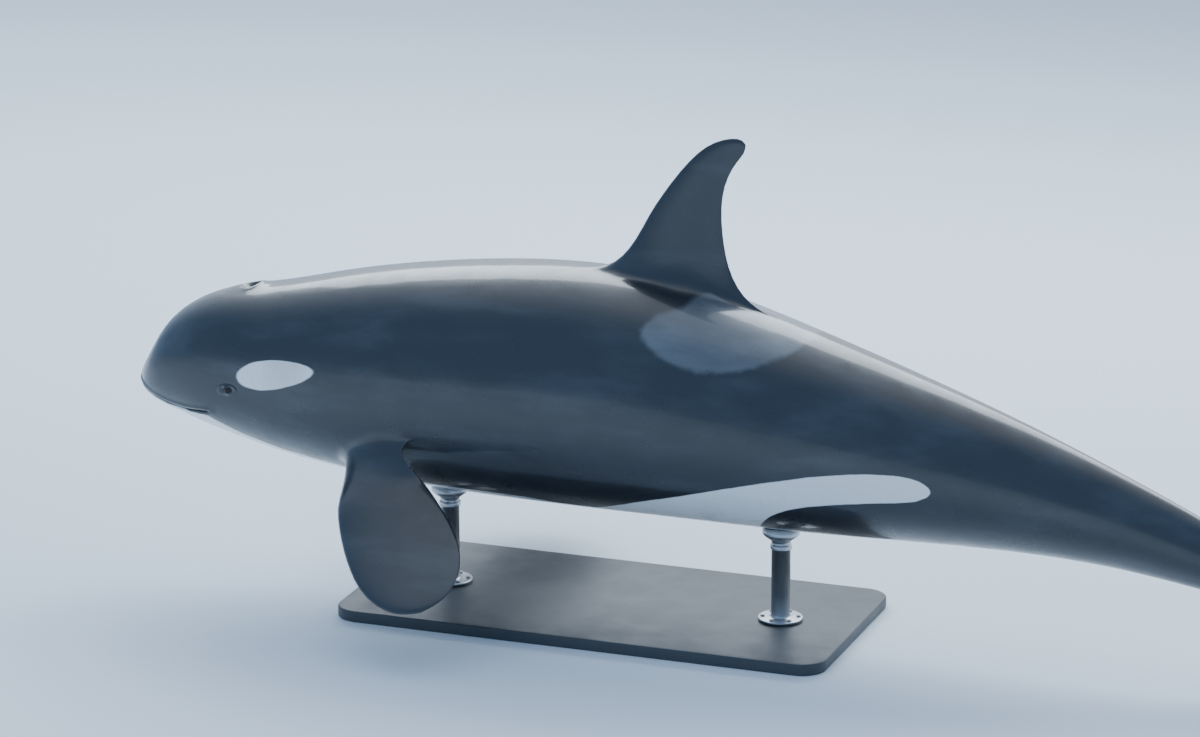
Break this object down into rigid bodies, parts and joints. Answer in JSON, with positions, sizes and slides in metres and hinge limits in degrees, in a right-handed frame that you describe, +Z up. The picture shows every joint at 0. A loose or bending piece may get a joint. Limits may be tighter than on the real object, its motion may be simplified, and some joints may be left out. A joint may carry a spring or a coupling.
{
  "type": "orca",
  "caption": "Life-size orca gliding with an arched back: curved dorsal fin, paddle flippers, flukes, white belly and eye patches, on a flat base with rods.",
  "frame": {"origin": "centre of the stand's underside, on the floor", "axes": "+X from the head towards the tail, +Y to the animal's right, +Z up"},
  "size_m": [6.0555, 2.2912, 2.3434],
  "materials": {
    "skin_black": "wet, glossy black skin with a blue sheen",
    "skin_white": "wet, glossy white skin",
    "skin_grey": "wet, glossy slate grey skin",
    "eye": "polished, very dark brown",
    "stand_base": "satin dark grey paint",
    "stand_rod": "brushed stainless steel"
  },
  "bodies": {
    "root": {"head": "skin_black", "lower_jaw": "skin_white", "torso": "skin_black", "tail_stock": "skin_black", "belly": "skin_white", "saddle_patch": "skin_grey", "dorsal_fin": "skin_black", "eye_patch_left": "skin_white", "eye_patch_right": "skin_white", "eye_left": "eye", "eye_right": "eye", "flipper_left": "skin_black", "flipper_right": "skin_black", "fluke_left": "skin_black", "fluke_right": "skin_black", "stand_base": "stand_base", "stand_rod_front": "stand_rod", "stand_rod_rear": "stand_rod"}
  },
  "joints": []
}
